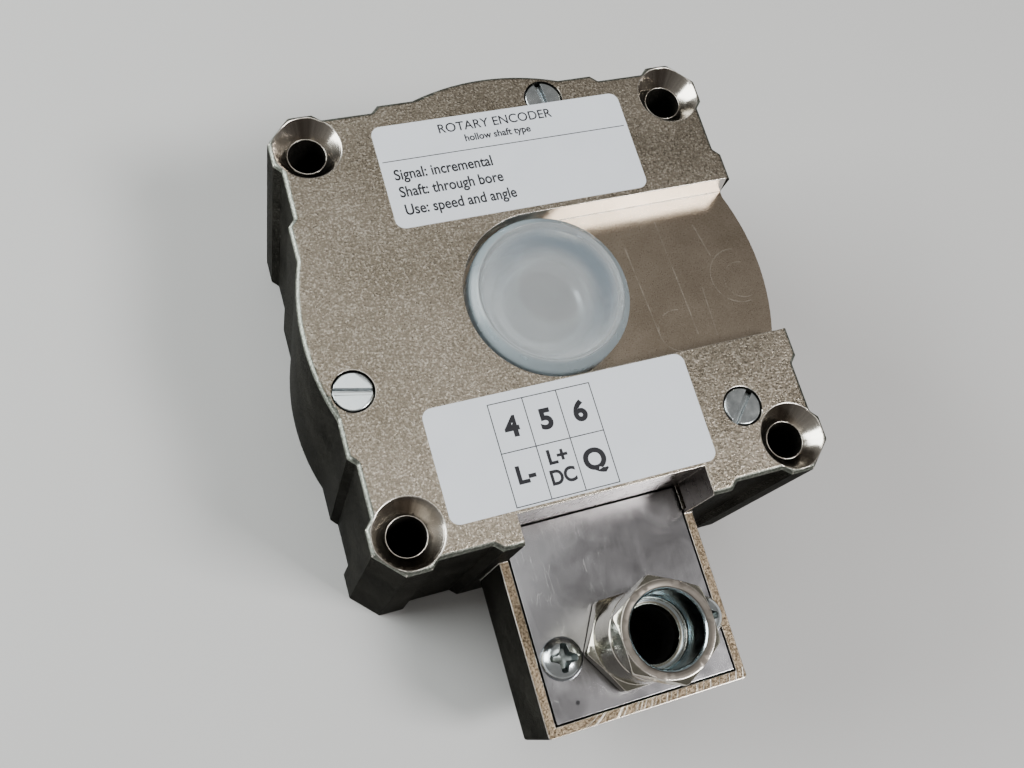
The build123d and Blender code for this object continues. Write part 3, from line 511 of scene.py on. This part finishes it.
# ---- pieces rebuilt from the CAD surface with broken edges --------------------
def broken_edges(name, body, finishes, region, width, where=None):
    """Rebuilds a node's skin: vertices merged, a finish for each region, and the sharp edges (or
    those that where() picks by their middle) rounded by width."""
    bm = bmesh.new()
    bm.from_mesh(nodes[name].data)
    bmesh.ops.remove_doubles(bm, verts=bm.verts, dist=2e-6)
    bm.normal_update()
    for f in bm.faces:
        f.material_index = finishes.index(region(f.calc_center_median() / MM, f.normal))
    sharp = [e for e in bm.edges if e.is_manifold and e.calc_face_angle(0) > math.radians(32)]
    if where:
        sharp = [e for e in sharp if where((e.verts[0].co + e.verts[1].co) / 2 / MM)]
    bmesh.ops.bevel(
        bm,
        geom=sharp,
        offset=width * MM,
        segments=2,
        affect="EDGES",
        profile=0.5,
        material=finishes.index("edge") if "edge" in finishes else -1,
        clamp_overlap=False,
    )
    shade(bm, 38)
    obj = add_object(name + "_skin", mesh_of(bm, name + "_skin", *finishes))
    weigh = obj.modifiers.new("flat_faces", "WEIGHTED_NORMAL")
    weigh.keep_sharp = True
    weigh.weight = 80
    place(obj, body, rows[name]["material_slot"], name)


# The limits between the casting's surfaces, each taken with a little room to spare.
FOOT, FACE = 0.5, 50.99  # heights just over the mounting face and just under the labelled face
CONE_RADIUS, CONE_FOOT = 6.2, 44.0  # the mounting holes' cones
RIM_Y, RIM_Z = -43.5, 35.3  # the terminal box's cut rim
NOTCH_X, NOTCH_FRONT, NOTCH_BACK, NOTCH_Z = 18.0, -73.5, -37.0, 35.4  # the notch over the box
SLOT_REACH, SLOT_Z, SLOT_RADIUS = 16.3, 45.2, 44.6  # the slot in the face, and its open end
CAP_BORE_RADIUS, CAP_BORE_Z = 14.5, 30.0
BOX_HOLLOW_X, BOX_HOLLOW_FRONT = 17.7, -72.8
HOLLOW_RADIUS, HOLLOW_REACH = 43.0, 39.5  # the housing's hollow: a circle cut by a square


def from_hole(c):
    """Distance in the plan to the nearest mounting hole's axis."""
    return math.hypot(abs(c.x) - HOLE_XY, abs(c.y) - HOLE_XY)


def casting_region(c, n):
    """The finish of one face of the casting, from its centre and its normal."""
    away = math.hypot(c.x, c.y)
    if from_hole(c) < CONE_RADIUS and FOOT < c.z < FACE:
        # The bores under the cones take the darkened inside finish: painted shade.
        return "turned" if c.z > CONE_FOOT else "cast_inside"
    if c.y < RIM_Y and c.z > RIM_Z:
        return "rim"
    if NOTCH_FRONT < c.y < NOTCH_BACK and abs(c.x) < NOTCH_X and NOTCH_Z < c.z < FACE:
        return "notch"
    if SLOT_Z < c.z < FACE and abs(c.y) < SLOT_REACH and c.x > -SLOT_REACH:
        if n.z > 0.9:
            return "slot"
        if away < SLOT_RADIUS:
            return "wall"
    if away < CAP_BORE_RADIUS and c.z > CAP_BORE_Z:
        return "wall"
    # The box's inside and the housing's hollow take the darkened inside finish: painted shade.
    if abs(c.x) < BOX_HOLLOW_X and BOX_HOLLOW_FRONT < c.y < NOTCH_BACK and c.z < RIM_Z:
        return "cast_inside"
    if away < HOLLOW_RADIUS and FOOT < c.z < SLOT_Z and max(abs(c.x), abs(c.y)) < HOLLOW_REACH:
        return "cast_inside"
    # Steep and slightly drafted faces are sides, in a much darker copy of the cast finish: painted shade. The
    # rounded edge round the labelled face takes a copy that is lighter than the sides and darker than the
    # top, also painted shade.
    if n.z < 0.12 or (n.z < 0.9 and c.z < 49.5):
        return "cast_side"
    return "cast_edge" if n.z < 0.97 and c.z > 49.8 else "cast_top"


def casting_edges(c):
    """Which sharp edges were cut, and so have a small break in a bright finish: partly bare metal, partly
    painted highlight. The two nodes join unbroken.
    """
    if abs(c.y - SEAM_Y) < 0.1:
        return False
    box = abs(c.x) < 19.6 and c.y < -36.5 and c.z > 14.0
    face = c.z > 45.0 and math.hypot(c.x, c.y) < 43.0 and max(abs(c.x), abs(c.y)) < 41.0
    return from_hole(c) < 7.0 or box or face


def gland_body_region(c, n):
    """The gland body's bore takes the darkened inside finish up to the seat of the seal: painted shade."""
    in_bore = math.hypot(c.x, c.y - GLAND_Y) < 7.3 and c.z < 45 and abs(n.z) < 0.5
    return "cast_inside" if in_bore else "nickel_brass"


def pressure_screw_region(c, n):
    """The gland's pressure screw has a matt end ring and a bright cup."""
    if c.z > 55.9:
        return "matt_ring"
    in_cup = math.hypot(c.x, c.y - GLAND_Y) < 7.2 and c.z > 47.3
    return "bright_zinc" if in_cup else "nickel_brass"


CASTING_FINISHES = (
    "cast_top", "cast_edge", "cast_side", "cast_inside", "slot", "wall", "notch", "turned", "rim", "edge",
)
for name in ("housing", "terminal_box"):
    broken_edges(name, "body", CASTING_FINISHES, casting_region, 0.14, casting_edges)
broken_edges("terminal_lid", "body", ("brushed_aluminium",), lambda c, n: "brushed_aluminium", 0.12)
broken_edges("tie_screws", "body", ("zinc_steel",), lambda c, n: "zinc_steel", 0.10)
broken_edges("gland_body", "body", ("nickel_brass", "cast_inside", "edge"), gland_body_region, 0.10)
broken_edges(
    "gland_pressure_screw",
    "gland_turner",
    ("nickel_brass", "matt_ring", "bright_zinc", "edge"),
    pressure_screw_region,
    0.10,
)


# ---- lid screws: domed heads with a cross recess ------------------------------
def baked(obj):
    """Returns a plain mesh of an object with its modifiers applied, and removes the object."""
    graph = bpy.context.evaluated_depsgraph_get()
    mesh = bpy.data.meshes.new_from_object(obj.evaluated_get(graph))
    bpy.data.objects.remove(obj)
    return mesh


def screw_blank(x, y, bottom):
    """A pan-head screw without its recess: the dome, the head's underside, then a ridged shank."""
    profile = [(0, 37.78), (0.8, 37.77), (1.6, 37.68), (2.3, 37.48), (2.9, 37.15), (3.35, 36.75)]
    profile += [(3.66, 36.3), (3.83, 35.9), (3.88, 35.56), (3.8, 35.5), (2.0, 35.5)]
    z = 35.3
    while z > bottom + 0.9:
        profile += [(1.97, z), (1.62, z - 0.35)]
        z -= 0.7
    profile += [(1.6, bottom + 0.4), (1.3, bottom), (0, bottom)]
    bm = bmesh.new()
    lathe(bm, profile, x, y)
    bmesh.ops.recalc_face_normals(bm, faces=bm.faces)
    return add_object("screw", mesh_of(bm, "screw"))


def cross_cutter(x, y):
    """The solid that cuts the cross recess: four arms that narrow to a tip."""
    arm = ((1.02, -1.02), (1.7, -0.76), (2.72, -0.60), (2.86, 0.0), (2.72, 0.60), (1.7, 0.76))
    outline = []
    for quarter in range(4):
        t = math.radians(-12 + 90 * quarter)
        for reach, side in arm:
            u = reach * math.cos(t) - side * math.sin(t)
            v = reach * math.sin(t) + side * math.cos(t)
            outline.append((u, v))
    bm = bmesh.new()
    rings = []
    for z, scale in ((38.5, 1.1), (37.9, 1.02), (35.95, 0.60)):
        rings.append(ring_at(bm, [(x + u * scale, y + v * scale) for u, v in outline], z))
    rings.append(ring_at(bm, [(x, y)], 35.7))
    bm.faces.new(rings[0])
    bridge(bm, rings)
    bmesh.ops.recalc_face_normals(bm, faces=bm.faces)
    return add_object("recess", mesh_of(bm, "recess"))


def build_lid_screws():
    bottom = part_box("lid_screws")[0].z / MM
    bm = bmesh.new()
    for x in LID_SCREW_X:
        blank = screw_blank(x, LID_SCREW_Y, bottom)
        cutter = cross_cutter(x, LID_SCREW_Y)
        cut = blank.modifiers.new("recess", "BOOLEAN")
        cut.object = cutter
        cut.solver = "EXACT"
        bm.from_mesh(baked(blank))
        bpy.data.objects.remove(cutter)
        for f in bm.faces:
            c = f.calc_center_median() / MM
            in_recess = math.hypot(c.x - x, c.y - LID_SCREW_Y) < 2.95 and c.z > 35.6
            # The recess's walls and floor take the darker zinc: painted shade.
            if in_recess and (f.normal.z < 0.75 or c.z < 36.1):
                f.material_index = 1
    shade(bm, 35)
    obj = add_object("lid_screws_skin", mesh_of(bm, "lid_screws_skin", "zinc_steel", "recess"))
    bevel = obj.modifiers.new("soft_edges", "BEVEL")
    bevel.width = 0.05 * MM
    bevel.segments = 2
    bevel.angle_limit = math.radians(40)
    place(obj, "body", "zinc_steel", "lid_screws")


build_lid_screws()


# ---- burr round the bores of the mounting holes -------------------------------
def build_burrs():
    radius, height, thickness = 3.53, 47.72, 0.09
    section = []
    for t in turns(8) + [2 * math.pi]:
        section.append((radius + thickness * math.cos(t), height + thickness * math.sin(t)))
    bm = bmesh.new()
    for x in (-HOLE_XY, HOLE_XY):
        for y in (-HOLE_XY, HOLE_XY):
            ring = bmesh.new()
            lathe(ring, section, x, y, 64)
            bmesh.ops.remove_doubles(ring, verts=ring.verts, dist=1e-7)
            bmesh.ops.recalc_face_normals(ring, faces=ring.faces)
            bm.from_mesh(mesh_of(ring, "burr"))
    for f in bm.faces:
        f.smooth = True
    # The burrs take the bright edge finish: partly bare metal, partly painted highlight.
    place(add_object("bore_burrs", mesh_of(bm, "bore_burrs", "edge")), "body", "nickel_casting")


build_burrs()


# ---- print on the labels -------------------------------------------------------
CAPITAL = 0.7  # a capital letter's height as a share of the font size
INK_HALF = 0.006  # half the thickness of the letters


def letters(bm, text, x, y, size, weight, align="LEFT", squeeze=1.0):
    """Adds flat text to a mesh: size is the height of a capital, and weight thickens the strokes."""
    curve = bpy.data.curves.new("letters", "FONT")
    curve.body = text
    curve.size = size / CAPITAL
    curve.align_x = align
    curve.offset = weight
    curve.extrude = INK_HALF
    curve.resolution_u = 6
    mesh = baked(add_object("letters", curve))
    shift = Matrix.Translation((x * MM, y * MM, (LABEL_TOP + INK_HALF) * MM))
    mesh.transform(shift @ Matrix.Diagonal((squeeze * MM, MM, MM, 1)))
    bm.from_mesh(mesh)


def rule(bm, x1, y1, x2, y2):
    """Adds a thin printed line between two points."""
    width, bottom, thickness = 0.17, 0.004, 0.008
    a, b = Vector((x1, y1, 0)), Vector((x2, y2, 0))
    along = (b - a).normalized()
    side = Vector((-along.y, along.x, 0)) * width / 2
    lift = Vector((0, 0, LABEL_TOP + bottom))
    face = bm.faces.new([bm.verts.new((p + lift) * MM) for p in (a - side, b - side, b + side, a + side)])
    raised = bmesh.ops.extrude_face_region(bm, geom=[face])["geom"]
    top = [v for v in raised if isinstance(v, bmesh.types.BMVert)]
    bmesh.ops.translate(bm, vec=(0, 0, thickness * MM), verts=top)


def printed(name, bm):
    bmesh.ops.recalc_face_normals(bm, faces=bm.faces)
    place(add_object(name, mesh_of(bm, name, "ink")), "body", "label_white")


def build_rating_print():
    bm = bmesh.new()
    letters(bm, "ROTARY ENCODER", -0.4, 34.8, 1.85, 0.025, "CENTER", 0.97)
    letters(bm, "hollow shaft type", -0.6, 32.4, 1.4, 0.05, "CENTER", 0.94)
    rule(bm, -23.5, 30.6, 24.6, 30.6)
    lines = (
        ("Signal: incremental", -22.1, 26.7),
        ("Shaft: through bore", -22.0, 23.2),
        ("Use: speed and angle", -21.9, 19.6),
    )
    for text, x, y in lines:
        letters(bm, text, x, y, 2.1, 0.06, squeeze=0.84)
    printed("rating_print", bm)


def build_connection_print():
    left, right, top, middle, bottom = -17.4, 1.5, -18.0, -26.9, -36.4
    overlap = 0.06
    pitch = (right - left) / 3
    bm = bmesh.new()
    for k in range(4):
        rule(bm, left + k * pitch, top + overlap, left + k * pitch, bottom - overlap)
    for y in (top, middle, bottom):
        rule(bm, left, y, right, y)
    # Text, its column, base line, height of a capital, weight and squeeze.
    signs = (
        ("4", 0, -24.3, 3.5, 0.21, 1.0),
        ("5", 1, -24.3, 3.5, 0.21, 1.0),
        ("6", 2, -24.3, 3.5, 0.21, 1.0),
        ("L-", 0, -32.6, 3.0, 0.16, 1.0),
        ("L+", 1, -30.6, 2.5, 0.12, 1.0),
        ("DC", 1, -34.2, 2.5, 0.12, 0.92),
        ("Q", 2, -33.2, 3.6, 0.21, 1.0),
    )
    for text, column, y, size, weight, squeeze in signs:
        letters(bm, text, left + (column + 0.5) * pitch, y, size, weight, "CENTER", squeeze)
    printed("connection_print", bm)


build_rating_print()
build_connection_print()


# ---- cap over the shaft end ------------------------------------------------------
def cap_scars():
    """Outlines and heights of the marks on the cap's face: the sprue's nub and a slanting ridge."""
    nub = []
    for t in turns(18):
        wobble = 0.42 + 0.13 * math.sin(2 * t + 0.6) + 0.07 * math.sin(5 * t)
        nub.append((0.15 + wobble * math.cos(t), -1.25 + 0.7 * wobble * math.sin(t)))
    ridge = []
    slant = 0.707
    for t in turns(24):
        along, across = 1.55 * math.cos(t), (0.11 + 0.05 * math.cos(3 * t)) * math.sin(t)
        ridge.append(((along + across) * slant - 0.25, (across - along) * slant + 0.35))
    return (nub, 0.16), (ridge, 0.07)


def build_cap():
    """The push-in cap: flat face, cone rim, wall, skirt and hollow inside, with its sprue scar."""
    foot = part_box("shaft_cap")[0].z / MM
    outside = [(0, 51.90), (6.0, 51.89), (12.0, 51.86), (13.15, 51.84), (13.3, 51.90), (13.42, 51.95)]
    outside += [(13.54, 51.91), (13.68, 51.72), (14.3, 51.12), (14.85, 50.55), (15.08, 50.28)]
    outside += [(15.18, 49.95), (15.19, 49.0), (15.19, 46.0), (15.1, 45.45), (14.9, 45.31)]
    outside += [(13.95, 45.31), (13.93, 44.9), (13.9, foot + 0.6), (13.6, foot + 0.05), (13.3, foot)]
    inside = [(12.9, foot), (12.68, foot + 0.2), (12.65, 43.0), (12.9, 46.4), (13.2, 49.6)]
    inside += [(12.9, 50.35), (12.4, 50.55), (10.0, 50.58), (0, 50.60)]
    bm = bmesh.new()
    lathe(bm, outside + inside, 0.0, 0.0, 160)
    for outline, rise in cap_scars():
        mx, my = [sum(p[axis] for p in outline) / len(outline) for axis in (0, 1)]
        rings = []
        for scale, z in ((1.0, 51.84), (0.8, 51.89 + rise * 0.6), (0.4, 51.89 + rise)):
            rings.append(ring_at(bm, [(mx + (u - mx) * scale, my + (v - my) * scale) for u, v in outline], z))
        bridge(bm, rings)
        bm.faces.new(rings[-1])
        bm.faces.new(rings[0])
    bmesh.ops.recalc_face_normals(bm, faces=bm.faces)
    shade(bm, 50)
    obj = add_object("shaft_cap_skin", mesh_of(bm, "shaft_cap_skin", "cap_plastic"))
    place(obj, "cap", "cap_plastic", "shaft_cap")


build_cap()


# ---- camera, light and floor ------------------------------------------------
def build_camera():
    spot = Vector((-62.465, -61.329, 222.636))
    forward = Vector((0.2731992, 0.2496896, -0.9289873)).normalized()
    tilt = Vector((0.2080370, 0.9275360, 0.3104796))
    data = bpy.data.cameras.new("view_camera")
    data.sensor_width = 36.0
    data.lens = 37.364
    data.clip_start, data.clip_end = 0.01, 20.0
    right = forward.cross(tilt).normalized()
    up = right.cross(forward)
    turn = Matrix((right, up, -forward)).transposed()
    camera = add_object("view_camera", data)
    camera.matrix_world = Matrix.Translation(spot * MM) @ turn.to_4x4()
    scene.camera = camera


def area_light(name, spot, target, size, power, colour):
    """A rectangular lamp. Places and sizes are in metres, power in watts."""
    data = bpy.data.lights.new(name, "AREA")
    data.shape = "RECTANGLE"
    data.size, data.size_y = size
    data.energy = power
    data.color = colour
    lamp = add_object(name, data)
    lamp.location = spot
    lamp.rotation_mode = "QUATERNION"
    lamp.rotation_quaternion = (Vector(target) - Vector(spot)).to_track_quat("-Z", "Y")


def build_floor():
    """A pale floor just under the mounting face."""
    s = Shader("studio_floor")
    s.finish(s.mix(s.noise(0.01, 3, 0.5), (0.60, 0.60, 0.60), (0.64, 0.64, 0.64)), 0.0, 0.7)
    bm = bmesh.new()
    bmesh.ops.create_grid(bm, x_segments=4, y_segments=4, size=3.0)
    floor = add_object("floor", mesh_of(bm, "floor"))
    floor.data.materials.append(s.mat)
    floor.location.z = -0.1 * MM


def build_light():
    world = bpy.data.worlds.new("studio")
    scene.world = world
    world.use_nodes = True
    sky = world.node_tree.nodes["Background"]
    sky.inputs["Color"].default_value = (0.87, 0.84, 0.80, 1)
    sky.inputs["Strength"].default_value = 0.27
    area_light("window", (-0.75, 0.40, 0.33), (0, 0, 0.03), (0.75, 0.60), 15.0, (0.96, 1.0, 0.98))
    area_light("second", (0.40, -0.36, 0.78), (0, 0, 0.03), (0.24, 0.24), 6.5, (1.0, 0.98, 0.96))
    area_light("ceiling", (-0.05, 0.20, 1.0), (-0.03, 0, 0.05), (0.5, 0.5), 1.6, (0.99, 1.0, 0.97))


build_camera()
build_floor()
build_light()
